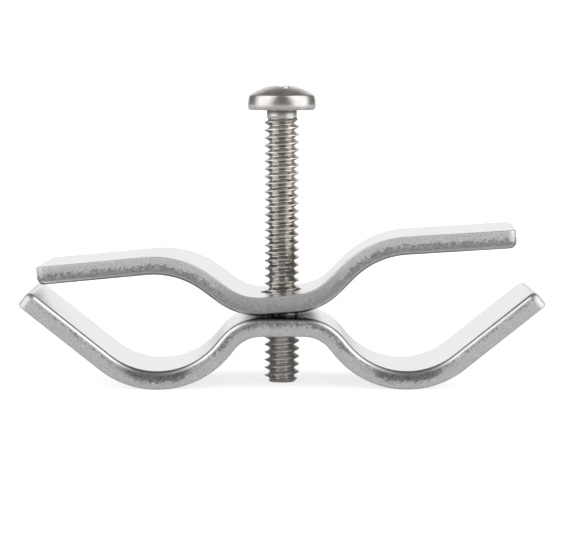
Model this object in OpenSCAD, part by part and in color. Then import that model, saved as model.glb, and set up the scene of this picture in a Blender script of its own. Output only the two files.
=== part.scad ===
// Two-post clamp anchor: two bent steel straps drawn together by one pan-head machine screw.
// Origin: on the screw's axis, at the level of the two saddle bottoms that the clamp stands on.
// +X runs along the straps, +Y across their width, +Z up the screw.

/* [Strap] */
// Width of both straps
strap_w = 19; // [15:0.5:25]
// Thickness of both straps
strap_t = 2.5; // [2:0.1:3]
// Radius rolled onto the long edges that face the posts
edge_roll = 1; // [0.6:0.05:1.2]
// Radius left on the opposite long edges
edge_break = 0.25; // [0.1:0.05:0.4]
// Corner radius of the strap ends, seen from above
tip_corner = 1.2; // [1:0.1:4]

/* [Lower strap] */
// Length between the two tips, along X
lower_span = 71.3; // [60:0.1:86]
// Distance between the two saddle centres, which is the post spacing
post_pitch = 33.8; // [28:0.2:41]
// Length of the flat crown that holds the tapped hole
crown_len = 5.7; // [5:0.1:7]
// Centreline radius of the bend beside the crown
crown_bend = 5.8; // [4.6:0.1:7]
// Slope of the webs between the crown and the saddles, in degrees
lower_web_slope = 50.6; // [44:0.1:56]
// Inside radius of the saddles
saddle_r = 10.2; // [8.6:0.1:12.4]
// Slope of the outer arms, in degrees
lower_arm_slope = 38.5; // [30:0.5:45]

/* [Upper strap] */
// Length between the two tips, along X when level
upper_span = 64.7; // [54:0.1:78]
// Length of the flat in the middle of the web
web_len = 4.4; // [3.6:0.1:8]
// Centreline radius of the bends beside the web
web_bend = 8.1; // [6.8:0.1:9.8]
// Slope of the rise between the web and the shoulders, in degrees
upper_web_slope = 40.9; // [36:0.1:45]
// Centreline radius of the shoulders
shoulder_r = 12.3; // [10.2:0.1:14.8]
// Height of the arms above the web
arm_rise = 6.7; // [6:0.1:8.1]
// Droop of the arms towards their tips, in degrees
arm_droop = 0.9; // [0:0.1:2]

/* [Clamp screw] */
// Outside diameter of the thread
screw_d = 4.83; // [4:0.01:6]
// Length under the head
screw_len = 37.6; // [30:0.1:46]
// Pitch of the thread
thread_pitch = 1.058; // [0.7:0.001:1.3]
// Length of the neck
neck_len = 1.2; // [0.8:0.1:2.5]
// Diameter of the head
head_d = 9.35; // [7.8:0.05:11.2]
// Height of the head
head_h = 3.38; // [3:0.02:4]
// Height of the dome that tops the head
head_dome = 1.4; // [1.1:0.05:1.7]
// Height of the head's widest ring above its underside
head_belly = 0.6; // [0.5:0.05:0.8]
// Radius under the rim of the head
head_edge = 0.4; // [0.3:0.05:0.5]
// Reach of the recess wings from the axis
recess_reach = 2.45; // [2:0.05:2.9]
// Depth of the recess wings
recess_depth = 2.2; // [1.8:0.05:2.5]
// Width of one recess wing
recess_wing = 1.05; // [0.8:0.05:1.25]
// Length of the chamfer at the tip
tip_chamfer = 0.7; // [0.5:0.05:1]

/* [Fits] */
// Radial running clearance of the screw in the tapped hole
thread_gap = 0.05; // [0.02:0.01:0.1]
// Extra diameter of the clearance hole in the upper strap
hole_gap = 0.8; // [0.6:0.05:1.2]
// Chamfer on both ends of each hole
hole_chamfer = 0.2; // [0.1:0.05:0.3]
// Gap between the lower crown and the web that lies on it
seat_gap = 0.3; // [0.25:0.05:0.5]
// Height of the screw's tip above the standing plane
tip_lift = 0.05; // [0:0.05:2]

/* [Rest position] */
// Turn of the cross recess round the screw, in degrees
recess_turn = 15; // [0:1:89]
// Tilt of the loose upper strap, right side up, in degrees
rest_tilt = 4.6; // [0:0.1:5]
// Swivel of the loose upper strap round the screw, in degrees
rest_swivel = 2.4; // [0:0.1:4]

/* [Hidden] */
$fn = 96;              // sides of a full circle
lap = 0.05;            // how far a straight runs into the bends beside it
slim = 0.004;          // how much slimmer a straight is on each side, so that it ends inside them
cut = 1;               // how far a cutting body runs past the face that it opens
recess_flare = 26.5;   // slope of the recess wings' ends from the axis, in degrees
recess_core_r = 1.25;  // radius of the recess's centre at the mouth
recess_tip_r = 0.35;   // radius of the recess's centre at its floor
web_min = 0.5;         // least straight between two bends; a web leans less where there is no room

// Rolled edge, which can be no rounder than the corners that it runs round
roll = min(edge_roll, tip_corner);

// Steepest lean of a web between two opposite bends, whose radii add up to r, that leaves it a
// straight of web_min, within a given reach along X or a given rise
function steepest_in_reach(r, reach) =
    asin(min(1, reach / norm([r, web_min]))) - atan(web_min / r);
function steepest_in_rise(r, rise) =
    acos(max(-1, (r - rise) / norm([r, web_min]))) - atan(web_min / r);

// Lower strap: straights that bring the saddles to their spacing and the tips to the span
saddle_bend = saddle_r + strap_t / 2;
crown_half = crown_len / 2;
saddle_reach = post_pitch / 2 - crown_half;
lower_lean = min(lower_web_slope, steepest_in_reach(crown_bend + saddle_bend, saddle_reach));
lower_web_len = (saddle_reach - (crown_bend + saddle_bend) * sin(lower_lean)) / cos(lower_lean);
tip_reach = edge_break + (strap_t / 2 - edge_break) * sin(lower_arm_slope);
lower_arm_len = edge_break + ((lower_span - post_pitch) / 2 - tip_reach
    - saddle_bend * sin(lower_arm_slope)) / cos(lower_arm_slope);
saddle_depth = (crown_bend + saddle_bend) * (1 - cos(lower_lean)) + lower_web_len * sin(lower_lean);
crown_z = saddle_depth + strap_t / 2;

// Upper strap: straights that bring the arms to their height and the tips to the span
web_half = web_len / 2;
upper_lean = min(upper_web_slope, steepest_in_rise(web_bend + shoulder_r, arm_rise));
upper_web_len = (arm_rise - (web_bend + shoulder_r) * (1 - cos(upper_lean))) / sin(upper_lean);
upper_arm_len = upper_span / 2 - web_half - (web_bend + shoulder_r) * sin(upper_lean)
    - upper_web_len * cos(upper_lean);
web_seat = web_half * sin(rest_tilt) + web_bend * (1 - cos(rest_tilt)) + strap_t / 2;
crown_seat = crown_z + strap_t / 2 + seat_gap + web_seat;

// Seat of the upper strap's low tip on the lower arm, which counts where it is met before the crown
under_tip = arm_rise - shoulder_r * (1 - cos(arm_droop)) - upper_arm_len * sin(arm_droop)
    - strap_t / 2;
low_tip_x = (upper_span / 2 * cos(rest_tilt) + under_tip * sin(rest_tilt)) * cos(rest_swivel)
    + strap_w / 2 * sin(rest_swivel);
low_tip_z = under_tip * cos(rest_tilt) - upper_span / 2 * sin(rest_tilt);
arm_face_z = strap_t + saddle_r - saddle_r / cos(lower_arm_slope)
    + (min(low_tip_x, lower_span / 2) - post_pitch / 2) * tan(lower_arm_slope);
arm_seat = arm_face_z + seat_gap / cos(lower_arm_slope) - low_tip_z;
web_z = max(crown_seat, arm_seat);

// Screw
head_z = tip_lift + screw_len;
head_r = head_d / 2;
rim_r = sqrt(pow(head_r, 2) - pow(head_h - head_dome - head_belly, 2));
dome_r = (pow(rim_r, 2) + pow(head_dome, 2)) / (2 * head_dome);
tapped_d = screw_d + 2 * thread_gap;
neck_d = screw_d - 0.6495 * thread_pitch;   // a rolled thread's blank is its pitch diameter
hole_d = screw_d + hole_gap;

// Half of the strap's section: x outwards from the middle, y through the thickness,
// with the rolled edge on top
module half_section(reach, inset = 0) {
    difference() {
        translate([0, inset - strap_t / 2]) square([reach - inset, strap_t - 2 * inset]);
        translate([reach - roll, strap_t / 2 - roll]) corner_cut(roll - inset);
        translate([reach - edge_break, edge_break - strap_t / 2])
            mirror([0, 1]) corner_cut(edge_break - inset);
    }
}

// What a rounded corner takes off: the region outside a quarter circle
module corner_cut(r) {
    difference() {
        square(r + cut);
        circle(r);
    }
}

module section(inset = 0) {
    half_section(strap_w / 2, inset);
    mirror([1, 0]) half_section(strap_w / 2, inset);
}

// The strap's path is built like a folding rule: each piece draws itself from the origin
// along +X, and carries its children on at its far end.
module straight(len) {
    translate([-lap, 0, 0]) rotate([90, 0, 90]) linear_extrude(len + 2 * lap) section(slim);
    translate([len, 0, 0]) children();
}

module bend_up(r, angle) {
    translate([0, 0, r]) rotate([90, 90, 0])
        rotate_extrude(angle = angle) translate([r, 0]) rotate(90) section();
    translate([r * sin(angle), 0, r * (1 - cos(angle))]) rotate([0, -angle, 0]) children();
}

module bend_down(r, angle) {
    translate([0, 0, -r]) rotate([-90, -90, 0])
        rotate_extrude(angle = angle) translate([r, 0]) rotate(-90) section();
    translate([r * sin(angle), 0, r * (cos(angle) - 1)]) rotate([0, angle, 0]) children();
}

// The last stretch of an arm: a straight, then an end with round corners whose edges
// are rolled all the way round
module arm(len) {
    between = strap_w / 2 - tip_corner;
    straight(len - tip_corner) {
        translate([0, between, 0]) rotate([90, 0, 0])
            linear_extrude(2 * between) half_section(tip_corner);
        for (side = [-1, 1])
            translate([0, side * between, 0]) rotate(side > 0 ? 0 : -90)
                rotate_extrude(angle = 90) half_section(tip_corner);
    }
}

module both_sides() {
    children();
    mirror([1, 0, 0]) children();
}

// A hole through the strap at the origin, chamfered at both faces
module strap_hole(d) {
    cylinder(h = strap_t + 2 * cut, d = d, center = true);
    for (side = [0, 1])
        mirror([0, 0, side]) translate([0, 0, strap_t / 2 - hole_chamfer])
            cylinder(h = 2 * hole_chamfer, d1 = d, d2 = d + 4 * hole_chamfer);
}

// Flat bar bent to a shallow W: a tapped crown between two saddles, and rising outer arms
module lower_strap() {
    color("#c6c8ca")
    translate([0, 0, crown_z]) difference() {
        both_sides()
            straight(crown_half)
            bend_down(crown_bend, lower_lean)
            straight(lower_web_len)
            bend_up(saddle_bend, lower_lean + lower_arm_slope)
            arm(lower_arm_len);
        strap_hole(tapped_d);
    }
}

// Flat bar with a dropped web between two level arms; it lies loose on the crown
module upper_strap() {
    color("#cfd0d1")
    translate([0, 0, web_z]) rotate(-rest_swivel) rotate([0, -rest_tilt, 0]) difference() {
        mirror([0, 0, 1]) both_sides()
            straight(web_half)
            bend_down(web_bend, upper_lean)
            straight(upper_web_len)
            bend_up(shoulder_r, upper_lean + arm_droop)
            arm(upper_arm_len);
        strap_hole(hole_d);
    }
}

// Half outline of the head: a spherical rim under a shallow dome, round at its lower edge
module head_outline() {
    intersection() {
        difference() {
            square([head_r, head_h]);
            translate([head_r - head_edge, head_edge]) mirror([0, 1]) corner_cut(head_edge);
        }
        translate([0, head_belly]) circle(head_r);
        translate([0, head_h - dome_r]) circle(dome_r);
    }
}

// Cross recess: two crossed wings with sloping ends, and a cone in the middle
module cross_recess() {
    foot = recess_reach - recess_depth * tan(recess_flare);
    for (turn = [0, 90])
        rotate([90, 0, turn]) translate([0, 0, -recess_wing / 2]) linear_extrude(recess_wing)
            polygon([[-foot, -recess_depth], [foot, -recess_depth],
                     [recess_reach + cut, cut / tan(recess_flare)],
                     [-recess_reach - cut, cut / tan(recess_flare)]]);
    translate([0, 0, -recess_depth]) cylinder(h = recess_depth + cut, r1 = recess_tip_r,
        r2 = recess_core_r * (1 + cut / recess_depth));
}

// Machine screw, right-hand thread, drawn at its outside diameter
module clamp_screw() {
    color("#b3aea8")
    difference() {
        translate([0, 0, head_z]) union() {
            rotate_extrude() head_outline();
            translate([0, 0, -neck_len]) cylinder(h = neck_len + cut, d = neck_d);
            translate([0, 0, -screw_len + tip_chamfer])
                cylinder(h = screw_len - tip_chamfer - neck_len, d = screw_d);
            translate([0, 0, -screw_len])
                cylinder(h = tip_chamfer, d1 = screw_d - 2 * tip_chamfer, d2 = screw_d);
        }
        translate([0, 0, head_z + head_h]) rotate(recess_turn) cross_recess();
    }
}

lower_strap();
upper_strap();
clamp_screw();
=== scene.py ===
"""Finishes and fine shapes of the two-post clamp anchor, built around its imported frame.

Sizes are in millimetres where a name holds a size of the part, and MM turns them into metres.
Angles are in degrees. A colour is linear red, green and blue, with an alpha of 1.
"""
import math

import bpy
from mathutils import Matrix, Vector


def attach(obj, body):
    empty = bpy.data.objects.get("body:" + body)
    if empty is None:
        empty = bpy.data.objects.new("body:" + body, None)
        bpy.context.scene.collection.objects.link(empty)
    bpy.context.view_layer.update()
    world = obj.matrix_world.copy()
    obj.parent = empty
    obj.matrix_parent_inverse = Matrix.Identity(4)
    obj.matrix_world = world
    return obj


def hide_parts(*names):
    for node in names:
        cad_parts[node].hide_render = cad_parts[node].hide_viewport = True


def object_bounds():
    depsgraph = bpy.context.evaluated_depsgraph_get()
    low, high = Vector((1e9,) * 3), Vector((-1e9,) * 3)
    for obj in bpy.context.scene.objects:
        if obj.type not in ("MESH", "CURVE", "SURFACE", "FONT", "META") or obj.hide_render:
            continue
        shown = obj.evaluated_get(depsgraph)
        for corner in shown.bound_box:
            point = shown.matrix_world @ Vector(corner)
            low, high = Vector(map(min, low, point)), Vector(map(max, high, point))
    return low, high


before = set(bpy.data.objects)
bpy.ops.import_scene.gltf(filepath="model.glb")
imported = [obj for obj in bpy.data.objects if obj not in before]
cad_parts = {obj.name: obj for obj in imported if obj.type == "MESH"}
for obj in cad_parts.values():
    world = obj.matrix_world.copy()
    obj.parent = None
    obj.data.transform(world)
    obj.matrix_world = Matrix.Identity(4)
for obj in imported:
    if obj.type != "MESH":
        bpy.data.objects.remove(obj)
cad_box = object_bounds()

MM = 0.001

# Stands for nothing where sizes are compared or divided by
TINY = 1e-6

# Straps. A BEND and SHOULDER_R are radii at the middle of the thickness, a SLOPE is the angle to the
# strap's own middle flat, and SADDLE_PLACE is measured along the flat blank.
STRAP_W = 19.0
STRAP_T = 2.5
ROLL_DEPTH = 1.0
ROLL_INSET = 0.8
EDGE_BREAK = 0.25
TIP_CORNER = 1.2
HOLE_CHAMFER = 0.2
LOWER_SPAN = 71.3
POST_PITCH = 33.8
CROWN_LEN = 5.7
CROWN_BEND = 5.8
LOWER_WEB_SLOPE = 50.6
SADDLE_BEND = 11.45
LOWER_ARM_SLOPE = 38.5
SADDLE_PLACE = 19.2
UPPER_SPAN = 64.7
WEB_LEN = 4.4
WEB_BEND = 8.1
UPPER_WEB_SLOPE = 40.9
SHOULDER_R = 12.3
ARM_RISE = 6.7
ARM_DROOP = 0.9
SEAT_GAP = 0.3
REST_TILT = 4.6
REST_SWIVEL = 2.4
TAPPED_R = 2.465
CLEARANCE_R = 2.815

# Screw
SCREW_R = 2.415
ROOT_R = 1.735
TIP_R = 1.7
THREAD_PITCH = 1.058
CREST_FLAT = 0.13
TIP_Z = 0.05
HEAD_Z = 37.65
NECK_R = 2.07
NECK_LEN = 0.7
RUN_OUT = 1.1
THREAD_TURN = 225.0
HEAD_R = 4.675
HEAD_H = 3.38
HEAD_DOME = 1.4
HEAD_BELLY = 0.6
HEAD_EDGE = 0.4
RECESS_TURN = 15.0
RECESS_REACH = 2.45
RECESS_WING = 1.05
RECESS_CORE_R = 1.25
RECESS_DEPTH = 2.2
RECESS_FLARE = 26.5

# Fine shape of the screw's head. NECK_FILLET pairs the way out from the neck with the height above
# the head's underside. The edge's arc ends at EDGE_END, and the rim's arc runs from RIM_START to
# RIM_TRIM short of its top. DOME_EDGE pairs the way in from the rim with the height above its top.
# The lip and the foot are the recess's mouth and floor, and FOOT_RINGS pairs a share of the foot
# with how far it lies below the floor's edge.
NECK_FILLET = ((0.0, -0.4), (0.0, -0.15), (0.05, -0.04), (0.15, 0.0), (0.4, 0.0))
UNDER_RING = 0.4
EDGE_TRIM = 0.03
EDGE_END = -18
RIM_START = -1.5
RIM_TRIM = 0.7
DOME_EDGE = (0.03, 0.005)
DOME_START = 0.09
DOME_END = 0.45
RECESS_LIP = 0.07
LIP_DROP = 0.015
MOUTH_DROP = 0.06
FOOT_WING = 0.9
FOOT_CORE_R = 0.5
FOOT_RINGS = ((0.6, 0.02), (0.3, 0.1))
FOOT_POINT = 0.2

# Where a face gets its rings of points: as shares of the way from one outline to the next, and
# for the tip as shares of its radius
HOLE_SHARES = (0.35, 0.7, 0.9, 1.0)
DOME_SHARES = (0.3, 0.6, 0.85, 1.0)
WALL_SHARES = (0.3, 0.65, 0.95, 1.0)
TIP_SHARES = (1.0, 0.6, 0.25)

# Thread: the flanks stand at 60 degrees to each other, ROOT_BLEND rounds off the root, and the
# thread starts to fade in at FADE_START, as a share of the run-out. SPARE_TURNS let the strip pass
# both of its ends, points closer than SEAM_GAP are joined, and edges sharper than SHARP_ANGLE stay
# sharp.
FLANK_SLOPE = math.sqrt(3)
ROOT_BLEND = 0.12
FADE_START = 0.15
SPARE_TURNS = 2.0
SEAM_GAP = 0.002
SHARP_ANGLE = 35

# Camera: CAMERA_DIP is how far it looks down, and CAMERA_PAN its turn about Z
CAMERA_PLACE = (-1.756, -360.3, 43.7)
CAMERA_DIP = 4.44
CAMERA_PAN = -0.315
LENS = 165.83
SENSOR = 36
CLIP_START = 10

# Lamps, in metres: on each side a wide panel, and a core in front of it that adds to its middle
LAMP_TURN = 67
PANEL_RISE = 30
PANEL_AWAY = 0.6
PANEL_SIZE = (0.9, 0.8)
PANEL_LEVEL = 0.9
CORE_RISE = 28
CORE_AWAY = 0.58
CORE_SIZE = (0.50, 0.60)
CORE_LEVELS = {"left": 0.5, "right": 0.75}

# Room: its level, and where the backdrop fades out and is full, by the sine of the elevation for
# its height and by the cosine of the angle from straight behind for its width
ROOM_LIGHT = 0.22
BACKDROP_HEIGHT = (0.78, 0.36)
BACKDROP_WIDTH = (0.86, 0.95)

# Floor, in metres: LIFT is added for the camera and SHEEN for reflections, each from its level near
# the object to its level far away, over the distances of its REACH
FLOOR_TONE = 0.6
FLOOR_HALF = 3.0
LIFT = (0.74, 1.0)
LIFT_REACH = (0.06, 0.25)
SHEEN = (0.06, 0.7)
SHEEN_REACH = (0.1, 0.6)

# Grain: sizes, detail and roughness of its clouds, speckles and patches, and the noise they span
CLOUD_DETAIL = 4.0
SPECKLE_DETAIL = 5.0
SPECKLE_ROUGHNESS = 0.65
GRAIN_SPAN = (0.35, 0.65)
CLOUD_HEIGHT = 0.5
STRAP_CLOUD = 2.5
STRAP_SPECKLE = 0.22
SCREW_CLOUD = 1.6
SCREW_SPECKLE = 0.12
PATCH_SIZE = 0.42
PATCH_DETAIL = 4.0
PATCH_ROUGHNESS = 0.7
PATCH_SPAN = (0.40, 0.60)

# Zones of a strap's finish, as where each starts and where it is full. The first four are
# distances from the middle of the strap or of a saddle. The others are turns of edge_profile, and
# BAND_END is counted from the end of the dark band.
MIDDLE_ZONE = (12, 6)
INNER_ZONE = (15, 9)
SADDLE_ZONE = (8, 3)
# The next two zones hold painted shade and rub marks where the straps meet by the hole
SEAT_SHADE_ZONE = (5.2, 3.4)
SEAT_SHADE_EDGE = (0.75, 0.4)
ROLL_START = (0.1, 0.35)
ROLL_END = (1.5, 1.0)
SIDE_START = (0.56, 0.72)
SIDE_END = (3.0, 2.8)
BAND_START = (0.52, 0.62)
BAND_END = (0.0, -0.5)
SMOKE_START = (0.08, 0.3)
SMOKE_END = (1.5, 0.9)

# Marks on a strap: how ragged the dark band's end is, which turn it reaches on the saddles and near
# the middle, how much a dull side and the patches thin it, and how much of each tone shows
BAND_RAGGED = (0.36, -0.18)
SADDLE_BAND = 1.65
INNER_BAND = 1.35
DULL_THINS = -0.75
PATCH_THINS = -0.35
BAND_SHARE = 0.85
# How much of the painted shade between the straps shows
SEAT_SHADE_SHARE = 0.85
SMOKE_SHARE = 0.42

# Zones of the screw's finish, as heights where each starts and where it is full, and how much of
# the painted shade on the neck and of the darker painted shade right under the head shows
HEAD_START = (HEAD_Z - 0.2, HEAD_Z + 0.1)
RING_END = (HEAD_Z + 0.9, HEAD_Z + 0.4)
NECK_SHADE_START = (HEAD_Z - 1.1, HEAD_Z - 0.5)
SHADE_START = (HEAD_Z - 0.6, HEAD_Z - 0.3)
END_ZONE = (9.5, 8)
NECK_SHADE_SHARE = 0.45
SHADE_SHARE = 0.8

# Tones of the straps and the screw. A dim and a bright tone are the two ends of the grain.
FACE_DIM = (0.77, 0.77, 0.77, 1)
FACE_BRIGHT = (0.83, 0.83, 0.825, 1)
ROLL_TONE = (0.70, 0.70, 0.695, 1)
# Painted shade between the straps by the hole
SEAT_SHADE_TONE = (0.16, 0.16, 0.165, 1)
SIDE_DIM = (0.69, 0.675, 0.665, 1)
SIDE_BRIGHT = (0.895, 0.877, 0.862, 1)
DULL_DIM = (0.40, 0.40, 0.405, 1)
DULL_BRIGHT = (0.57, 0.57, 0.575, 1)
BAND_DIM = (0.17, 0.165, 0.16, 1)
BAND_BRIGHT = (0.385, 0.373, 0.366, 1)
BLUE_DIM = (0.18, 0.188, 0.20, 1)
BLUE_BRIGHT = (0.44, 0.46, 0.485, 1)
SMOKE_TONE = (0.13, 0.13, 0.135, 1)
WIRE_DIM = (0.54, 0.51, 0.485, 1)
WIRE_BRIGHT = (0.66, 0.635, 0.61, 1)
# Painted shade on the neck, and darker painted shade right under the head
NECK_SHADE_TONE = (0.26, 0.25, 0.24, 1)
SHADE_TONE = (0.12, 0.115, 0.11, 1)
RING_TONE = (0.82, 0.81, 0.80, 1)
# Painted light on the screw's lower end, which lies in shade under the lower strap
END_LIGHT_TONE = (0.80, 0.765, 0.735, 1)

# Roughness. A pair holds what the grain adds and the least, and a single number is added, apart
# from BAND_GLOSS, which is taken away.
FACE_ROUGH = (0.05, 0.20)
SIDE_ROUGH = (0.16, 0.50)
WIRE_ROUGH = (0.06, 0.11)
ROLL_ROUGH = 0.06
BAND_GLOSS = 0.24
HEAD_ROUGH = 0.13
RING_ROUGH = 0.18
END_ROUGH = 0.08

# Bump: its strength, and the depth of the grain. The pair holds what the side adds and the least.
STRAP_BUMP = (0.60, 0.06)
STRAP_GRAIN_DEPTH = 0.03
SCREW_BUMP = 0.08
SCREW_GRAIN_DEPTH = 0.02

# Fineness of the meshes. HOLE_WINDOW is half the side of the square that the hole's rings fill, and
# CROSS_STEPS add up to an eighth of SEGMENTS.
ALONG_STEP = 0.35
ACROSS_STEP = 0.7
HOLE_WINDOW = 3.85
ROUND_STEPS = 10
SIDE_STEPS = 5
SEGMENTS = 96
THREAD_ROWS = 16
EDGE_STEPS = 6
RIM_STEPS = 8
DOME_STEPS = 7
CROSS_STEPS = (3, 4, 5)

# Places of a Mix node's two inputs and of its output, for each type of data
MIX_PLACES = {"RGBA": (6, 7, 2), "FLOAT": (2, 3, 0)}


# ---------------------------------------------------------------- camera, lamps, room and floor

def make_camera():
    camera = bpy.data.objects.new("camera", bpy.data.cameras.new("camera"))
    camera.location = [place * MM for place in CAMERA_PLACE]
    camera.rotation_euler = (math.radians(90 - CAMERA_DIP), 0, math.radians(CAMERA_PAN))
    camera.data.sensor_width = SENSOR
    camera.data.lens = LENS
    camera.data.clip_start = CLIP_START * MM
    bpy.context.scene.collection.objects.link(camera)
    bpy.context.scene.camera = camera


def make_lamp(name, azimuth, elevation, distance, size, radiance):
    """A soft panel that faces the object. Azimuth 0 is the camera's side, and 90 is +X."""
    turn, rise = math.radians(azimuth), math.radians(elevation)
    width, height = size
    lamp = bpy.data.objects.new(name, bpy.data.lights.new(name, "AREA"))
    lamp.data.shape = "RECTANGLE"
    lamp.data.size = width
    lamp.data.size_y = height
    lamp.data.energy = radiance * math.pi * width * height
    lamp.location = (distance * math.sin(turn) * math.cos(rise),
                     -distance * math.cos(turn) * math.cos(rise),
                     distance * math.sin(rise))
    way = (cad_box[0] + cad_box[1]) / 2 - lamp.location
    lamp.rotation_euler = way.to_track_quat("-Z", "Y").to_euler()
    lamp.visible_camera = False
    bpy.context.scene.collection.objects.link(lamp)


def make_world():
    """White to the camera. For light and reflections the room is dim, with a white backdrop behind
    the object that fades upwards and to the sides."""
    world = bpy.data.worlds.new("studio")
    bpy.context.scene.world = world
    world.use_nodes = True
    net = Net(world.node_tree)
    net.tree.nodes.clear()
    way = net.add("ShaderNodeTexCoord").outputs["Generated"]
    level_way = net.vector("NORMALIZE", net.vector("MULTIPLY", way, (1, 1, 0)))
    level_part = net.add("ShaderNodeSeparateXYZ", Vector=level_way).outputs
    part = net.add("ShaderNodeSeparateXYZ", Vector=way).outputs
    behind = net.mask(level_part["Y"], BACKDROP_WIDTH)
    fade = net.mask(part["Z"], BACKDROP_HEIGHT)
    backdrop = net.math("MULTIPLY", behind, fade)
    room = net.math("MULTIPLY_ADD", backdrop, 1 - ROOM_LIGHT, ROOM_LIGHT)
    seen = net.add("ShaderNodeLightPath").outputs["Is Camera Ray"]
    level = net.math("MAXIMUM", room, seen)
    glow = net.add("ShaderNodeBackground", Color=(1, 1, 1, 1), Strength=level)
    net.add("ShaderNodeOutputWorld", Surface=glow.outputs[0])


def make_floor():
    """A pale floor that keeps the object's shadow and is nearly white to the camera."""
    mesh = bpy.data.meshes.new("floor")
    signs = ((-1, -1), (1, -1), (1, 1), (-1, 1))
    corners = [(x * FLOOR_HALF, y * FLOOR_HALF, 0) for x, y in signs]
    mesh.from_pydata(corners, [], [(0, 1, 2, 3)])
    floor = bpy.data.objects.new("floor", mesh)
    bpy.context.scene.collection.objects.link(floor)
    finish = new_material("floor_white")
    net = Net(finish.node_tree)
    lit = net.add("ShaderNodeBsdfDiffuse", Color=(FLOOR_TONE, FLOOR_TONE, FLOOR_TONE, 1))
    away = net.vector_length(net.add("ShaderNodeTexCoord").outputs["Object"])
    ray = net.add("ShaderNodeLightPath").outputs
    lift = net.math("MULTIPLY", ray["Is Camera Ray"], net.range(away, *LIFT_REACH, *LIFT))
    sheen = net.math("MULTIPLY", ray["Is Glossy Ray"], net.range(away, *SHEEN_REACH, *SHEEN))
    glow = net.add("ShaderNodeEmission", Color=(1, 1, 1, 1), Strength=net.math("ADD", lift, sheen))
    both = net.add("ShaderNodeAddShader")
    net.link(lit.outputs[0], both.inputs[0])
    net.link(glow.outputs[0], both.inputs[1])
    net.add("ShaderNodeOutputMaterial", Surface=both.outputs[0])
    mesh.materials.append(finish)


# ---------------------------------------------------------------- node helpers

class Net:
    """Short calls for building a node tree."""

    def __init__(self, tree):
        self.tree = tree

    def link(self, start, end):
        self.tree.links.new(start, end)

    def put(self, socket, value):
        """Gives a socket a link if the value is another socket, and a plain value otherwise."""
        if isinstance(value, bpy.types.NodeSocket):
            self.link(value, socket)
        else:
            socket.default_value = value

    def add(self, kind, settings=None, **inputs):
        """Adds a node. An input's name has _ in place of each space."""
        node = self.tree.nodes.new(kind)
        for name, value in (settings or {}).items():
            setattr(node, name, value)
        for name, value in inputs.items():
            self.put(node.inputs[name.replace("_", " ")], value)
        return node

    def math(self, operation, *values):
        node = self.add("ShaderNodeMath", {"operation": operation})
        for socket, value in zip(node.inputs, values):
            self.put(socket, value)
        return node.outputs[0]

    def vector(self, operation, *values):
        node = self.add("ShaderNodeVectorMath", {"operation": operation})
        for socket, value in zip(node.inputs, values):
            self.put(socket, value)
        return node.outputs[0]

    def vector_length(self, vector):
        node = self.add("ShaderNodeVectorMath", {"operation": "LENGTH"})
        self.link(vector, node.inputs[0])
        return node.outputs["Value"]

    def scale(self, vector, factor):
        node = self.add("ShaderNodeVectorMath", {"operation": "SCALE"}, Scale=factor)
        self.put(node.inputs[0], vector)
        return node.outputs[0]

    def range(self, value, start, end, low=0.0, high=1.0):
        """Runs smoothly from low to high as the value goes from start to end."""
        node = self.add("ShaderNodeMapRange", {"interpolation_type": "SMOOTHSTEP"}, Value=value,
                        From_Min=start, From_Max=end, To_Min=low, To_Max=high)
        return node.outputs[0]

    def mask(self, value, ends, unit=1.0):
        """Runs smoothly from 0 to 1 as the value goes from the first end to the second."""
        return self.range(value, ends[0] * unit, ends[1] * unit)

    def mix(self, factor, first, second, data_type="RGBA"):
        """What lies between two colours, or between two numbers if the type is FLOAT."""
        first_place, second_place, output_place = MIX_PLACES[data_type]
        node = self.add("ShaderNodeMix", {"data_type": data_type})
        self.put(node.inputs[0], factor)
        self.put(node.inputs[first_place], first)
        self.put(node.inputs[second_place], second)
        return node.outputs[output_place]

    def noise(self, place, scale, detail=3.0, roughness=0.5):
        node = self.add("ShaderNodeTexNoise", Vector=place, Scale=scale, Detail=detail,
                        Roughness=roughness)
        return node.outputs["Fac"]


def new_group(name, kind, inputs, outputs):
    """An empty node group with named sockets, its Net, and its input and output nodes."""
    tree = bpy.data.node_groups.new(name, kind)
    for label, socket_type, value in inputs:
        socket = tree.interface.new_socket(name=label, in_out="INPUT", socket_type=socket_type)
        if value is not None:
            socket.default_value = value
    for label, socket_type in outputs:
        tree.interface.new_socket(name=label, in_out="OUTPUT", socket_type=socket_type)
    net = Net(tree)
    return net, net.add("NodeGroupInput").outputs, net.add("NodeGroupOutput").inputs


def set_inputs(modifier, **values):
    """Sets a Geometry Nodes modifier's inputs, which it stores by their sockets' identifiers."""
    for item in modifier.node_group.interface.items_tree:
        key = item.name.replace(" ", "_").lower()
        if item.in_out == "INPUT" and key in values:
            modifier[item.identifier] = values.pop(key)
    if values:
        raise KeyError(f"no such inputs: {sorted(values)}")


def bake(piece):
    """Turns what a piece's modifiers make into its plain mesh, and removes them."""
    bpy.context.view_layer.update()
    graph = bpy.context.evaluated_depsgraph_get()
    evaluated = piece.evaluated_get(graph)
    mesh = bpy.data.meshes.new_from_object(evaluated, preserve_all_data_layers=True, depsgraph=graph)
    piece.modifiers.clear()
    piece.data = mesh
    mesh.name = piece.name


def new_material(name):
    """A material with an empty node tree."""
    material = bpy.data.materials.new(name)
    material.use_nodes = True
    material.node_tree.nodes.clear()
    return material


# ---------------------------------------------------------------- finishes

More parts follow.
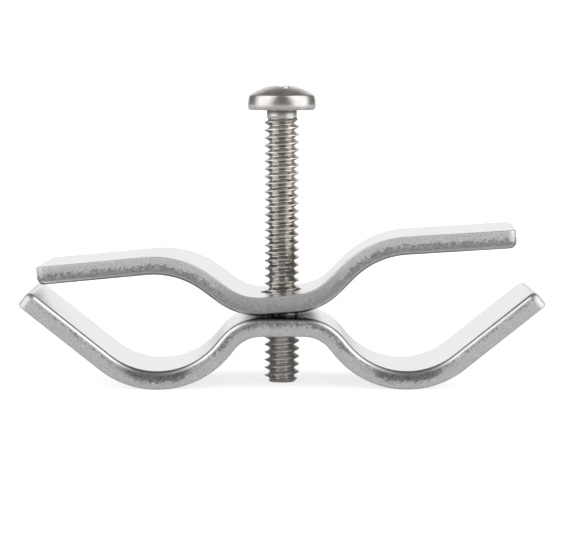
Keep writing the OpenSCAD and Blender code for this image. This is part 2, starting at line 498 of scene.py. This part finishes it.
def make_grain_group():
    """Tumbled metal: a cloudy tone, fine speckle, and a height for the bump."""
    net, given, made = new_group(
        "tumbled_grain", "ShaderNodeTree",
        [("Place", "NodeSocketVector", None), ("Cloud Size", "NodeSocketFloat", 1.0),
         ("Speckle Size", "NodeSocketFloat", 1.0)],
        [("Cloud", "NodeSocketFloat"), ("Speckle", "NodeSocketFloat"),
         ("Height", "NodeSocketFloat")])
    cloud_scale = net.math("DIVIDE", 1.0, given["Cloud Size"])
    speckle_scale = net.math("DIVIDE", 1.0, given["Speckle Size"])
    cloud = net.noise(given["Place"], cloud_scale, CLOUD_DETAIL)
    speckle = net.noise(given["Place"], speckle_scale, SPECKLE_DETAIL, SPECKLE_ROUGHNESS)
    net.link(net.mask(cloud, GRAIN_SPAN), made["Cloud"])
    net.link(net.mask(speckle, GRAIN_SPAN), made["Speckle"])
    net.link(net.math("ADD", speckle, net.math("MULTIPLY", cloud, CLOUD_HEIGHT)), made["Height"])
    return net.tree


def use_group(net, tree, **inputs):
    """Places a node group with its own values, and gives its outputs."""
    node = net.add("ShaderNodeGroup", {"node_tree": tree})
    for name, value in inputs.items():
        net.put(node.inputs[name.replace("_", " ")], value)
    return node.outputs


def make_strap_steel(name, grain, wear, wear_end, saddle_wear, dull_middle):
    """Stainless strip: bright rolled faces, a burnished roll and mottled sheared sides. Wear is
    how dark the band under the roll is on the arms, wear_end the turn it reaches there, saddle_wear
    how strong the marks on the saddles are, and dull_middle how dull the side is by the hole."""
    material = new_material(name)
    net = Net(material.node_tree)
    flat = net.add("ShaderNodeAttribute", {"attribute_name": "flat_place"}).outputs["Vector"]
    turn = net.add("ShaderNodeAttribute", {"attribute_name": "edge_turn"}).outputs["Fac"]
    grained = use_group(net, grain, Place=flat, Cloud_Size=STRAP_CLOUD * MM,
                        Speckle_Size=STRAP_SPECKLE * MM)
    speckle = grained["Speckle"]
    patches = net.noise(flat, 1 / (PATCH_SIZE * MM), PATCH_DETAIL, PATCH_ROUGHNESS)
    patchy = net.mask(patches, PATCH_SPAN)
    along = net.math("ABSOLUTE", net.add("ShaderNodeSeparateXYZ", Vector=flat).outputs["X"])
    middle = net.mask(along, MIDDLE_ZONE, MM)
    inner = net.mask(along, INNER_ZONE, MM)
    off_saddle = net.math("ABSOLUTE", net.math("SUBTRACT", along, SADDLE_PLACE * MM))
    saddle = net.math("MULTIPLY", net.mask(off_saddle, SADDLE_ZONE, MM), saddle_wear)
    # Painted shade, with rub marks, on the faces where the two straps meet by the hole
    seat = net.math("MULTIPLY", net.mask(along, SEAT_SHADE_ZONE, MM), net.mask(turn, SEAT_SHADE_EDGE))
    roll = net.math("MULTIPLY", net.mask(turn, ROLL_START), net.mask(turn, ROLL_END))
    side = net.math("MULTIPLY", net.mask(turn, SIDE_START), net.mask(turn, SIDE_END))

    # The dark band under the roll: how far down the side it reaches, and how dark it is
    ragged = net.math("MULTIPLY_ADD", patchy, *BAND_RAGGED)
    band_end = net.math("MAXIMUM", net.math("MULTIPLY", saddle, SADDLE_BAND), wear_end)
    band_end = net.math("MAXIMUM", net.math("MULTIPLY", inner, INNER_BAND), band_end)
    beyond = net.math("SUBTRACT", net.math("ADD", turn, ragged), band_end)
    band = net.math("MULTIPLY", net.mask(turn, BAND_START), net.mask(beyond, BAND_END))
    undimmed = net.math("MULTIPLY_ADD", middle, DULL_THINS * dull_middle, 1.0)
    strength = net.math("MAXIMUM", net.math("MAXIMUM", inner, saddle), wear)
    strength = net.math("MULTIPLY", strength, undimmed)
    dark = net.math("MULTIPLY", net.math("MULTIPLY", band, strength),
                    net.math("MULTIPLY_ADD", patchy, PATCH_THINS, 1.0))
    smoky = net.math("MULTIPLY", net.math("MULTIPLY", saddle, net.mask(turn, SMOKE_START)),
                     net.mask(turn, SMOKE_END))

    face_tone = net.mix(grained["Cloud"], FACE_DIM, FACE_BRIGHT)
    face_tone = net.mix(roll, face_tone, ROLL_TONE)
    face_tone = net.mix(net.math("MULTIPLY", seat, SEAT_SHADE_SHARE), face_tone, SEAT_SHADE_TONE)
    side_tone = net.mix(speckle, SIDE_DIM, SIDE_BRIGHT)
    dull_tone = net.mix(speckle, DULL_DIM, DULL_BRIGHT)
    side_tone = net.mix(net.math("MULTIPLY", middle, dull_middle), side_tone, dull_tone)
    band_tone = net.mix(speckle, BAND_DIM, BAND_BRIGHT)
    blue_tone = net.mix(speckle, BLUE_DIM, BLUE_BRIGHT)
    band_tone = net.mix(middle, band_tone, blue_tone)
    side_tone = net.mix(net.math("MULTIPLY", dark, BAND_SHARE), side_tone, band_tone)
    tone = net.mix(side, face_tone, side_tone)
    tone = net.mix(net.math("MULTIPLY", smoky, SMOKE_SHARE), tone, SMOKE_TONE)

    face_rough = net.math("MULTIPLY_ADD", grained["Cloud"], *FACE_ROUGH)
    face_rough = net.math("MULTIPLY_ADD", roll, ROLL_ROUGH, face_rough)
    side_rough = net.math("MULTIPLY_ADD", speckle, *SIDE_ROUGH)
    side_rough = net.math("SUBTRACT", side_rough, net.math("MULTIPLY", dark, BAND_GLOSS))
    rough = net.mix(side, face_rough, side_rough, "FLOAT")

    bump = net.add("ShaderNodeBump", Strength=net.math("MULTIPLY_ADD", side, *STRAP_BUMP),
                   Distance=STRAP_GRAIN_DEPTH * MM, Height=grained["Height"])
    steel = net.add("ShaderNodeBsdfPrincipled", Base_Color=tone, Metallic=1.0, Roughness=rough,
                    Normal=bump.outputs[0])
    net.add("ShaderNodeOutputMaterial", Surface=steel.outputs[0])
    return material


def make_screw_steel(grain):
    """Stainless wire, cold formed and thread rolled: smoother and warmer than the straps."""
    material = new_material("screw_steel")
    net = Net(material.node_tree)
    where = net.add("ShaderNodeTexCoord").outputs["Object"]
    fine = use_group(net, grain, Place=where, Cloud_Size=SCREW_CLOUD * MM,
                     Speckle_Size=SCREW_SPECKLE * MM)
    height = net.add("ShaderNodeSeparateXYZ", Vector=where).outputs["Z"]
    head = net.mask(height, HEAD_START, MM)
    below_head = net.math("SUBTRACT", 1.0, head)
    ring = net.math("MULTIPLY", head, net.mask(height, RING_END, MM))
    # Painted shade under the head: over the neck, and darker right under the head
    neck = net.math("MULTIPLY", net.mask(height, NECK_SHADE_START, MM), below_head)
    shade = net.math("MULTIPLY", net.mask(height, SHADE_START, MM), below_head)
    end = net.mask(height, END_ZONE, MM)

    tone = net.mix(fine["Cloud"], WIRE_DIM, WIRE_BRIGHT)
    tone = net.mix(net.math("MULTIPLY", neck, NECK_SHADE_SHARE), tone, NECK_SHADE_TONE)
    tone = net.mix(net.math("MULTIPLY", shade, SHADE_SHARE), tone, SHADE_TONE)
    tone = net.mix(net.math("MULTIPLY", ring, fine["Speckle"]), tone, RING_TONE)
    # The lower end takes painted light, as it lies in shade under the lower strap
    tone = net.mix(end, tone, END_LIGHT_TONE)
    rough = net.math("MULTIPLY_ADD", fine["Speckle"], *WIRE_ROUGH)
    rough = net.math("MULTIPLY_ADD", head, HEAD_ROUGH, rough)
    rough = net.math("MULTIPLY_ADD", net.math("MAXIMUM", ring, neck), RING_ROUGH, rough)
    rough = net.math("MULTIPLY_ADD", end, END_ROUGH, rough)
    bump = net.add("ShaderNodeBump", Strength=SCREW_BUMP, Distance=SCREW_GRAIN_DEPTH * MM,
                   Height=fine["Height"])
    steel = net.add("ShaderNodeBsdfPrincipled", Base_Color=tone, Metallic=1.0, Roughness=rough,
                    Normal=bump.outputs[0])
    net.add("ShaderNodeOutputMaterial", Surface=steel.outputs[0])
    return material


# ---------------------------------------------------------------- mesh helpers

class Shell:
    """Collects the points and faces of one mesh, in millimetres."""

    def __init__(self):
        self.points = []
        self.faces = []
        self.turns = []

    def add(self, point, turn=0.0):
        """Adds a point with its turn round the edge, and gives its number."""
        self.points.append(point)
        self.turns.append(turn)
        return len(self.points) - 1

    def band(self, first, second):
        """Joins two closed rings of as many points. A point that both share makes a triangle."""
        for i in range(len(first)):
            j = (i + 1) % len(first)
            corners = [first[i], second[i], second[j], first[j]]
            unique = list(dict.fromkeys(corners))
            if len(unique) > 2:
                self.faces.append(unique)

    def bands(self, rings):
        """Joins each ring to the next."""
        for first, second in zip(rings, rings[1:]):
            self.band(first, second)

    def object(self, name):
        """The collected mesh as an object, with the turns as the attribute edge_turn."""
        mesh = bpy.data.meshes.new(name)
        points = [[value * MM for value in point] for point in self.points]
        mesh.from_pydata(points, [], self.faces)
        layer = mesh.attributes.new("edge_turn", "FLOAT", "POINT")
        layer.data.foreach_set("value", self.turns)
        piece = bpy.data.objects.new(name, mesh)
        bpy.context.scene.collection.objects.link(piece)
        return piece


def spread(stops, step):
    """Places from the first stop to the last, evenly spaced between the stops."""
    places = [stops[0]]
    for start, end in zip(stops, stops[1:]):
        count = max(1, round((end - start) / step))
        places += [start + (end - start) * i / count for i in range(1, count + 1)]
    return places


def steps(start, end, count):
    """count + 1 even values from start to end."""
    return [start + (end - start) * i / count for i in range(count + 1)]


# ---------------------------------------------------------------- straps

def edge_profile():
    """Inset from the outline, height and turn, from the rolled face round to the other face.
    The turn goes from 0 to 1 on the rolled edge, to 2 on the sheared side and to 3 on the break."""
    half = STRAP_T / 2
    flat = STRAP_T - ROLL_DEPTH - EDGE_BREAK
    rows = []
    for angle in steps(0, 90, ROUND_STEPS):
        swing = math.radians(angle)
        rows.append((ROLL_INSET * (1 - math.sin(swing)), half - ROLL_DEPTH * (1 - math.cos(swing)),
                     angle / 90))
    for share in steps(0, 1, SIDE_STEPS)[1:]:
        rows.append((0.0, half - ROLL_DEPTH - flat * share, 1 + share))
    for angle in steps(90, 180, ROUND_STEPS // 2)[1:]:
        swing = math.radians(angle)
        rows.append((EDGE_BREAK * (1 - math.sin(swing)),
                     EDGE_BREAK - half + EDGE_BREAK * math.cos(swing), 1 + angle / 90))
    return rows


def outline(xs, ys):
    """The blank's outline as pairs of a node of the inner rectangle and the way out from it."""
    right, top = len(xs) - 1, len(ys) - 1
    sides = [([(i, 0) for i in range(right + 1)], -90),
             ([(right, j) for j in range(top + 1)], 0),
             ([(i, top) for i in range(right, -1, -1)], 90),
             ([(0, j) for j in range(top, -1, -1)], 180)]
    places = []
    for nodes, facing in sides:
        places += [(node, facing) for node in nodes]
        places += [(nodes[-1], angle) for angle in steps(facing, facing + 90, ROUND_STEPS)[1:-1]]
    return places


def strap_blank(name, length, hole_r, up):
    """Flat blank of a strap: X along it, Y across and Z through it, with its rolled edge up or down.
    Its ends have round corners, and its hole is chamfered at both faces."""
    shell = Shell()
    half = STRAP_T / 2
    reach = length / 2 - TIP_CORNER
    side = STRAP_W / 2 - TIP_CORNER
    xs = spread([-reach, -HOLE_WINDOW, HOLE_WINDOW, reach], ALONG_STEP)
    ys = spread([-side, -HOLE_WINDOW, HOLE_WINDOW, side], ACROSS_STEP)
    places = outline(xs, ys)
    rings = []
    for inset, height, turn in edge_profile():
        ring = []
        for (i, j), angle in places:
            swing = math.radians(angle)
            out = TIP_CORNER - inset
            ring.append(shell.add((xs[i] + out * math.cos(swing), ys[j] + out * math.sin(swing),
                                   height), turn))
        rings.append(ring)
    shell.bands(rings)

    borders = []
    windows = []
    for height, turn in ((half, 0.0), (-half, 3.0)):
        nodes = {(i, j): shell.add((x, y, height), turn)
                 for i, x in enumerate(xs) for j, y in enumerate(ys)}
        for i in range(len(xs) - 1):
            for j in range(len(ys) - 1):
                centre = max(abs(xs[i] + xs[i + 1]), abs(ys[j] + ys[j + 1])) / 2
                if centre > HOLE_WINDOW:
                    cell = [nodes[i, j], nodes[i + 1, j], nodes[i + 1, j + 1], nodes[i, j + 1]]
                    shell.faces.append(cell if turn == 0 else cell[::-1])
        borders.append([nodes[node] for node, angle in places])
        windows.append(window_ring(xs, ys, nodes))
    shell.band(borders[0], rings[0])
    shell.band(rings[-1], borders[1])
    add_hole(shell, windows, hole_r)

    if not up:
        shell.points = [(x, -y, -z) for x, y, z in shell.points]
    return shell.object(name)


def window_ring(xs, ys, nodes):
    """The nodes round the square window that the hole's own rings fill, anticlockwise."""
    across = [i for i, x in enumerate(xs) if abs(x) < HOLE_WINDOW + TINY]
    upward = [j for j, y in enumerate(ys) if abs(y) < HOLE_WINDOW + TINY]
    ring = [(i, upward[0]) for i in across[:-1]] + [(across[-1], j) for j in upward[:-1]]
    ring += [(i, upward[-1]) for i in across[:0:-1]] + [(across[0], j) for j in upward[:0:-1]]
    return [nodes[node] for node in ring]


def add_hole(shell, windows, hole_r):
    """Rings from the top window down the bore to the bottom window."""
    half = STRAP_T / 2
    wide = hole_r + HOLE_CHAMFER
    square = [shell.points[k] for k in windows[0]]
    rows = [(share, wide, half, 0.0) for share in HOLE_SHARES]
    rows += [(1.0, hole_r, half - HOLE_CHAMFER, 1.0), (1.0, hole_r, HOLE_CHAMFER - half, 2.0)]
    rows += [(share, wide, -half, 3.0) for share in HOLE_SHARES[::-1]]
    rings = [windows[0]]
    for share, radius, height, turn in rows:
        ring = []
        for x, y, _ in square:
            shrink = radius / math.hypot(x, y)
            factor = 1 + (shrink - 1) * share
            ring.append(shell.add((x * factor, y * factor, height), turn))
        rings.append(ring)
    rings.append(windows[1])
    shell.bands(rings[::-1])


def lower_legs():
    """Half of the lower strap's centreline as straights and bends, and the depth of its saddles."""
    lean, arm = math.radians(LOWER_WEB_SLOPE), math.radians(LOWER_ARM_SLOPE)
    bends = CROWN_BEND + SADDLE_BEND
    web = (POST_PITCH / 2 - CROWN_LEN / 2 - bends * math.sin(lean)) / math.cos(lean)
    tip = EDGE_BREAK + (STRAP_T / 2 - EDGE_BREAK) * math.sin(arm)
    reach = (LOWER_SPAN - POST_PITCH) / 2 - tip - SADDLE_BEND * math.sin(arm)
    legs = [("straight", CROWN_LEN / 2), ("bend", CROWN_BEND, -LOWER_WEB_SLOPE), ("straight", web),
            ("bend", SADDLE_BEND, LOWER_WEB_SLOPE + LOWER_ARM_SLOPE),
            ("straight", EDGE_BREAK + reach / math.cos(arm))]
    return legs, bends * (1 - math.cos(lean)) + web * math.sin(lean)


def upper_legs():
    """Half of the upper strap's centreline, and how far its web's middle lies above the crown."""
    lean, tilt = math.radians(UPPER_WEB_SLOPE), math.radians(REST_TILT)
    bends = WEB_BEND + SHOULDER_R
    web = (ARM_RISE - bends * (1 - math.cos(lean))) / math.sin(lean)
    arm = UPPER_SPAN / 2 - WEB_LEN / 2 - bends * math.sin(lean) - web * math.cos(lean)
    legs = [("straight", WEB_LEN / 2), ("bend", WEB_BEND, UPPER_WEB_SLOPE), ("straight", web),
            ("bend", SHOULDER_R, -UPPER_WEB_SLOPE - ARM_DROOP), ("straight", arm)]
    seat = WEB_LEN / 2 * math.sin(tilt) + WEB_BEND * (1 - math.cos(tilt)) + STRAP_T / 2
    return legs, seat


def half_path(legs):
    """Points of half a strap's centreline in X and Z, from its middle outwards."""
    x = z = heading = 0.0
    points = [(x, z)]
    for kind, size, *angle in legs:
        if kind == "straight":
            x += size * math.cos(heading)
            z += size * math.sin(heading)
            points.append((x, z))
            continue
        swing = math.radians(angle[0])
        count = max(2, round(abs(angle[0])))  # one chord a degree
        for _ in range(count):
            step = swing / count
            chord = 2 * size * math.sin(abs(step) / 2)
            heading += step / 2
            x += chord * math.cos(heading)
            z += chord * math.sin(heading)
            heading += step / 2
            points.append((x, z))
    return points


def strap_path(name, legs):
    """The whole centreline as a curve, from the left tip to the right tip, and its length."""
    half = half_path(legs)
    points = [(-x, z) for x, z in half[:0:-1]] + half
    curve = bpy.data.curves.new(name, "CURVE")
    curve.dimensions = "3D"
    spline = curve.splines.new("POLY")
    spline.points.add(len(points) - 1)
    for spot, (x, z) in zip(spline.points, points):
        spot.co = (x * MM, 0, z * MM, 1)
    path = bpy.data.objects.new(name, curve)
    bpy.context.scene.collection.objects.link(path)
    length = sum(math.dist(start, end) for start, end in zip(points, points[1:]))
    return path, length


def make_bend_tree():
    """Bends a flat blank along a path, and keeps each point's place in the blank as flat_place."""
    net, given, made = new_group(
        "bend_along_path", "GeometryNodeTree",
        [("Blank", "NodeSocketGeometry", None), ("Path", "NodeSocketObject", None),
         ("Length", "NodeSocketFloat", 0.0), ("Seat", "NodeSocketVector", None),
         ("Turn", "NodeSocketVector", None), ("Finish", "NodeSocketMaterial", None)],
        [("Strap", "NodeSocketGeometry")])
    place = net.add("GeometryNodeInputPosition").outputs[0]
    part = net.add("ShaderNodeSeparateXYZ", Vector=place)
    kept = net.add("GeometryNodeStoreNamedAttribute",
                   {"data_type": "FLOAT_VECTOR", "domain": "POINT"},
                   Geometry=given["Blank"], Name="flat_place")
    net.put(kept.inputs["Value"], place)
    path = net.add("GeometryNodeObjectInfo", {"transform_space": "ORIGINAL"}, Object=given["Path"])
    along = net.math("ADD", part.outputs["X"], net.math("MULTIPLY", given["Length"], 0.5))
    spot = net.add("GeometryNodeSampleCurve", {"mode": "LENGTH", "use_all_curves": True},
                   Curves=path.outputs["Geometry"], Length=along)
    outward = net.vector("CROSS_PRODUCT", spot.outputs["Tangent"], (0, 1, 0))
    raised = net.scale(outward, part.outputs["Z"])
    aside = net.add("ShaderNodeCombineXYZ", Y=part.outputs["Y"]).outputs[0]
    final = net.vector("ADD", net.vector("ADD", spot.outputs["Position"], raised), aside)
    bent = net.add("GeometryNodeSetPosition", Geometry=kept.outputs[0], Position=final)
    seated = net.add("GeometryNodeTransform", Geometry=bent.outputs[0], Translation=given["Seat"],
                     Rotation=given["Turn"])
    smooth = net.add("GeometryNodeSetShadeSmooth", Geometry=seated.outputs[0])
    real = net.add("GeometryNodeRealizeInstances", Geometry=smooth.outputs[0])
    finished = net.add("GeometryNodeSetMaterial", Geometry=real.outputs[0], Material=given["Finish"])
    net.link(finished.outputs[0], made["Strap"])
    return net.tree


def make_strap(name, node, tree, legs, hole_r, up, seat_z, turn, finish):
    """One strap, bent from its blank. It stands for the CAD node and rides with its body."""
    path, length = strap_path(name + "_path", legs)
    strap = strap_blank(name, length, hole_r, up)
    bend = strap.modifiers.new("bend", "NODES")
    bend.node_group = tree
    set_inputs(bend, path=path, length=length * MM, seat=(0, 0, seat_z * MM), turn=turn,
               finish=finish)
    bake(strap)
    bpy.data.objects.remove(path)
    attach(strap, node)
    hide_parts(node)


# ---------------------------------------------------------------- screw

def head_profile():
    """Radius and height above the head's underside, from the neck out and over to the dome."""
    dome_edge = HEAD_H - HEAD_DOME
    rim_r = math.sqrt(HEAD_R ** 2 - (dome_edge - HEAD_BELLY) ** 2)
    dome_r = (rim_r ** 2 + HEAD_DOME ** 2) / (2 * HEAD_DOME)
    edge_r = HEAD_R - HEAD_EDGE
    rows = [(NECK_R, -NECK_LEN)] + [(NECK_R + out, height) for out, height in NECK_FILLET]
    rows.append((edge_r - UNDER_RING, 0.0))
    for angle in steps(-90, EDGE_END, EDGE_STEPS):
        swing = math.radians(angle)
        rows.append((edge_r + (HEAD_EDGE - EDGE_TRIM) * math.cos(swing),
                     HEAD_EDGE + HEAD_EDGE * math.sin(swing)))
    top = math.degrees(math.asin((dome_edge - HEAD_BELLY) / HEAD_R))
    for angle in steps(RIM_START, top - RIM_TRIM, RIM_STEPS):
        swing = math.radians(angle)
        rows.append((HEAD_R * math.cos(swing), HEAD_BELLY + HEAD_R * math.sin(swing)))
    rows.append((rim_r - DOME_EDGE[0], dome_edge + DOME_EDGE[1]))
    for radius in steps(rim_r - DOME_START, RECESS_REACH + DOME_END, DOME_STEPS):
        rows.append((radius, HEAD_H - dome_r + math.sqrt(dome_r ** 2 - radius ** 2)))
    return rows, dome_r


def cross_outline(reach, wing, core):
    """Closed outline of a cross recess, one point for each segment of the screw."""
    half = wing / 2
    corner = math.atan2(half, reach)
    throat = math.asin(min(1.0, half / max(core, half * math.sqrt(2))))
    stops = (0, corner, throat, math.pi / 4)
    eighth = [0.0]
    for start, end, count in zip(stops, stops[1:], CROSS_STEPS):
        eighth += steps(start, end, count)[1:]
    quarter = eighth[:-1] + [math.pi / 2 - angle for angle in eighth[:0:-1]]
    points = []
    for k in range(4):
        for angle in quarter:
            near = min(angle, math.pi / 2 - angle)
            arm = min(reach / math.cos(near), half / max(math.sin(near), TINY))
            size = max(core, arm)
            swing = angle + k * math.pi / 2
            points.append((size * math.cos(swing), size * math.sin(swing)))
    return points


def rounded(points):
    """Softens the corners of a closed outline."""
    count = len(points)
    return [((points[i - 1][0] + 2 * points[i][0] + points[(i + 1) % count][0]) / 4,
             (points[i - 1][1] + 2 * points[i][1] + points[(i + 1) % count][1]) / 4)
            for i in range(count)]


def between(first, second, share):
    """The points a share of the way from one outline to another."""
    return [(x + (far_x - x) * share, y + (far_y - y) * share)
            for (x, y), (far_x, far_y) in zip(first, second)]


def screw_body():
    """The screw without its thread: neck, head with its cross recess, and the flat of the tip."""
    shell = Shell()
    rows, dome_r = head_profile()
    round_steps = [2 * math.pi * k / SEGMENTS for k in range(SEGMENTS)]
    lead = math.radians(RECESS_TURN)

    def turned(x, y, height):
        """A point of the head, turned with the recess. Its height is above the underside."""
        return shell.add((x * math.cos(lead) - y * math.sin(lead),
                          x * math.sin(lead) + y * math.cos(lead), HEAD_Z + height))

    def circle(radius, height):
        return [shell.add((radius * math.cos(angle + lead), radius * math.sin(angle + lead), height))
                for angle in round_steps]

    def cross_ring(points, heights):
        return [turned(x, y, height) for (x, y), height in zip(points, heights)]

    def on_dome(points, drop=0.0):
        return [HEAD_H - dome_r + math.sqrt(dome_r ** 2 - x * x - y * y) - drop for x, y in points]

    rings = [circle(radius, HEAD_Z + height) for radius, height in rows]
    outer = rows[-1][0]
    edge = [(outer * math.cos(angle), outer * math.sin(angle)) for angle in round_steps]
    mouth = rounded(cross_outline(RECESS_REACH, RECESS_WING, RECESS_CORE_R))
    widen = [1 + RECESS_LIP / math.hypot(x, y) for x, y in mouth]
    lip = [(x * factor, y * factor) for (x, y), factor in zip(mouth, widen)]
    for share in DOME_SHARES:
        level = between(edge, lip, share)
        rings.append(cross_ring(level, on_dome(level)))
    half_way = between(lip, mouth, 0.5)
    rings.append(cross_ring(half_way, on_dome(half_way, LIP_DROP)))
    tops = on_dome(mouth, MOUTH_DROP)
    rings.append(cross_ring(mouth, tops))

    foot_reach = RECESS_REACH - RECESS_DEPTH * math.tan(math.radians(RECESS_FLARE))
    foot = rounded(cross_outline(foot_reach, RECESS_WING * FOOT_WING, FOOT_CORE_R))
    floor_z = HEAD_H - RECESS_DEPTH
    for share in WALL_SHARES:
        heights = [top + (floor_z - top) * share for top in tops]
        rings.append(cross_ring(between(mouth, foot, share), heights))
    for shrink, drop in FOOT_RINGS:
        level = [(x * shrink, y * shrink) for x, y in foot]
        rings.append(cross_ring(level, [floor_z - drop] * SEGMENTS))
    rings.append([turned(0, 0, floor_z - FOOT_POINT)] * SEGMENTS)
    shell.bands(rings[::-1])

    tips = [circle(TIP_R * share, TIP_Z) for share in TIP_SHARES]
    tips.append([shell.add((0, 0, TIP_Z))] * SEGMENTS)
    shell.bands(tips)
    return shell.object("clamp_screw_detail")


def make_thread_tree():
    """Adds a rolled thread to a screw body: one strip of a single pitch, wound up the shank."""
    lengths = ("Crest Radius", "Root Radius", "Neck Radius", "Tip Radius", "Pitch", "Crest Flat",
               "Root Blend", "Tip", "Neck", "Run Out", "Seam Gap")
    net, given, made = new_group(
        "rolled_thread", "GeometryNodeTree",
        [("Body", "NodeSocketGeometry", None)]
        + [(label, "NodeSocketFloat", 0.0) for label in lengths]
        + [("Start", "NodeSocketFloat", 0.0), ("Segments", "NodeSocketInt", SEGMENTS),
           ("Rows", "NodeSocketInt", THREAD_ROWS), ("Finish", "NodeSocketMaterial", None)],
        [("Screw", "NodeSocketGeometry")])
    height = net.math("SUBTRACT", given["Neck"], given["Tip"])
    pitches = net.math("DIVIDE", height, given["Pitch"])
    turns = net.math("CEIL", net.math("ADD", pitches, SPARE_TURNS))
    columns = net.math("ADD", net.math("MULTIPLY", turns, given["Segments"]), 1.0)
    strip = net.add("GeometryNodeMeshGrid", Size_X=turns, Size_Y=1.0, Vertices_X=columns,
                    Vertices_Y=net.math("ADD", given["Rows"], 1.0))
    place = net.add("ShaderNodeSeparateXYZ", Vector=net.add("GeometryNodeInputPosition").outputs[0])
    wound = net.math("ADD", place.outputs["X"], net.math("MULTIPLY", turns, 0.5))
    across = place.outputs["Y"]
    angle = net.math("MULTIPLY_ADD", wound, 2 * math.pi, given["Start"])
    pitches_up = net.math("ADD", net.math("ADD", wound, across), -1.0)
    rise = net.math("MULTIPLY", pitches_up, given["Pitch"])
    free = net.math("ADD", rise, given["Tip"])
    level = net.math("MINIMUM", net.math("MAXIMUM", free, given["Tip"]), given["Neck"])

    off_crest = net.math("MULTIPLY", net.math("ABSOLUTE", across), given["Pitch"])
    flat_half = net.math("MULTIPLY", given["Crest Flat"], 0.5)
    off_flat = net.math("MAXIMUM", net.math("SUBTRACT", off_crest, flat_half), 0.0)
    flank = net.math("SUBTRACT", given["Crest Radius"], net.math("MULTIPLY", off_flat, FLANK_SLOPE))
    full = net.math("SMOOTH_MAX", flank, given["Root Radius"], given["Root Blend"])
    below_neck = net.math("SUBTRACT", given["Neck"], level)
    fade_start = net.math("MULTIPLY", given["Run Out"], FADE_START)
    fade = net.range(below_neck, fade_start, given["Run Out"])
    held = net.math("ADD", given["Neck Radius"],
                    net.math("MULTIPLY", net.math("SUBTRACT", full, given["Neck Radius"]), fade))
    cone = net.math("ADD", given["Tip Radius"], net.math("SUBTRACT", level, given["Tip"]))
    radius = net.math("MINIMUM", held, cone)
    spot = net.add("ShaderNodeCombineXYZ", X=net.math("MULTIPLY", radius, net.math("COSINE", angle)),
                   Y=net.math("MULTIPLY", radius, net.math("SINE", angle)), Z=level)
    coil = net.add("GeometryNodeSetPosition", Geometry=strip.outputs["Mesh"], Position=spot.outputs[0])
    joined = net.add("GeometryNodeJoinGeometry")
    net.link(coil.outputs[0], joined.inputs[0])
    net.link(given["Body"], joined.inputs[0])
    sewn = net.add("GeometryNodeMergeByDistance", Geometry=joined.outputs[0],
                   Distance=given["Seam Gap"])
    smooth = net.add("GeometryNodeSetShadeSmooth", Geometry=sewn.outputs[0])
    real = net.add("GeometryNodeRealizeInstances", Geometry=smooth.outputs[0])
    finished = net.add("GeometryNodeSetMaterial", Geometry=real.outputs[0], Material=given["Finish"])
    net.link(finished.outputs[0], made["Screw"])
    return net.tree


def make_screw(finish):
    """The screw with its thread. It stands for the CAD node and rides with its body."""
    screw = screw_body()
    thread = screw.modifiers.new("thread", "NODES")
    thread.node_group = make_thread_tree()
    set_inputs(thread, crest_radius=SCREW_R * MM, root_radius=ROOT_R * MM, neck_radius=NECK_R * MM,
               tip_radius=TIP_R * MM, pitch=THREAD_PITCH * MM, crest_flat=CREST_FLAT * MM,
               root_blend=ROOT_BLEND * MM, tip=TIP_Z * MM, neck=(HEAD_Z - NECK_LEN) * MM,
               run_out=RUN_OUT * MM, seam_gap=SEAM_GAP * MM, start=math.radians(THREAD_TURN),
               segments=SEGMENTS, rows=THREAD_ROWS, finish=finish)
    bake(screw)
    screw.data.set_sharp_from_angle(angle=math.radians(SHARP_ANGLE))
    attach(screw, "clamp_screw")
    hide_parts("clamp_screw")


# ---------------------------------------------------------------- the part

make_camera()
make_world()
for side, label in ((-1, "left"), (1, "right")):
    make_lamp(label + "_panel", side * LAMP_TURN, PANEL_RISE, PANEL_AWAY, PANEL_SIZE, PANEL_LEVEL)
    make_lamp(label + "_core", side * LAMP_TURN, CORE_RISE, CORE_AWAY, CORE_SIZE,
              CORE_LEVELS[label])
make_floor()
bpy.context.scene.view_settings.view_transform = "Standard"

grain_group = make_grain_group()
lower_steel = make_strap_steel("lower_strap_steel", grain_group, wear=0.75, wear_end=1.0,
                               saddle_wear=1.0, dull_middle=0.1)
upper_steel = make_strap_steel("upper_strap_steel", grain_group, wear=0.90, wear_end=1.5,
                               saddle_wear=0.0, dull_middle=0.7)
screw_steel = make_screw_steel(grain_group)
bend_tree = make_bend_tree()
lower_half, saddle_depth = lower_legs()
crown_z = saddle_depth + STRAP_T / 2
make_strap("lower_strap_bent", "lower_strap", bend_tree, lower_half, hole_r=TAPPED_R, up=True,
           seat_z=crown_z, turn=(0, 0, 0), finish=lower_steel)
upper_half, web_seat = upper_legs()
web_z = crown_z + STRAP_T / 2 + SEAT_GAP + web_seat
rest_turn = (0, -math.radians(REST_TILT), -math.radians(REST_SWIVEL))
make_strap("upper_strap_bent", "upper_strap", bend_tree, upper_half, hole_r=CLEARANCE_R, up=False,
           seat_z=web_z, turn=rest_turn, finish=upper_steel)
make_screw(screw_steel)
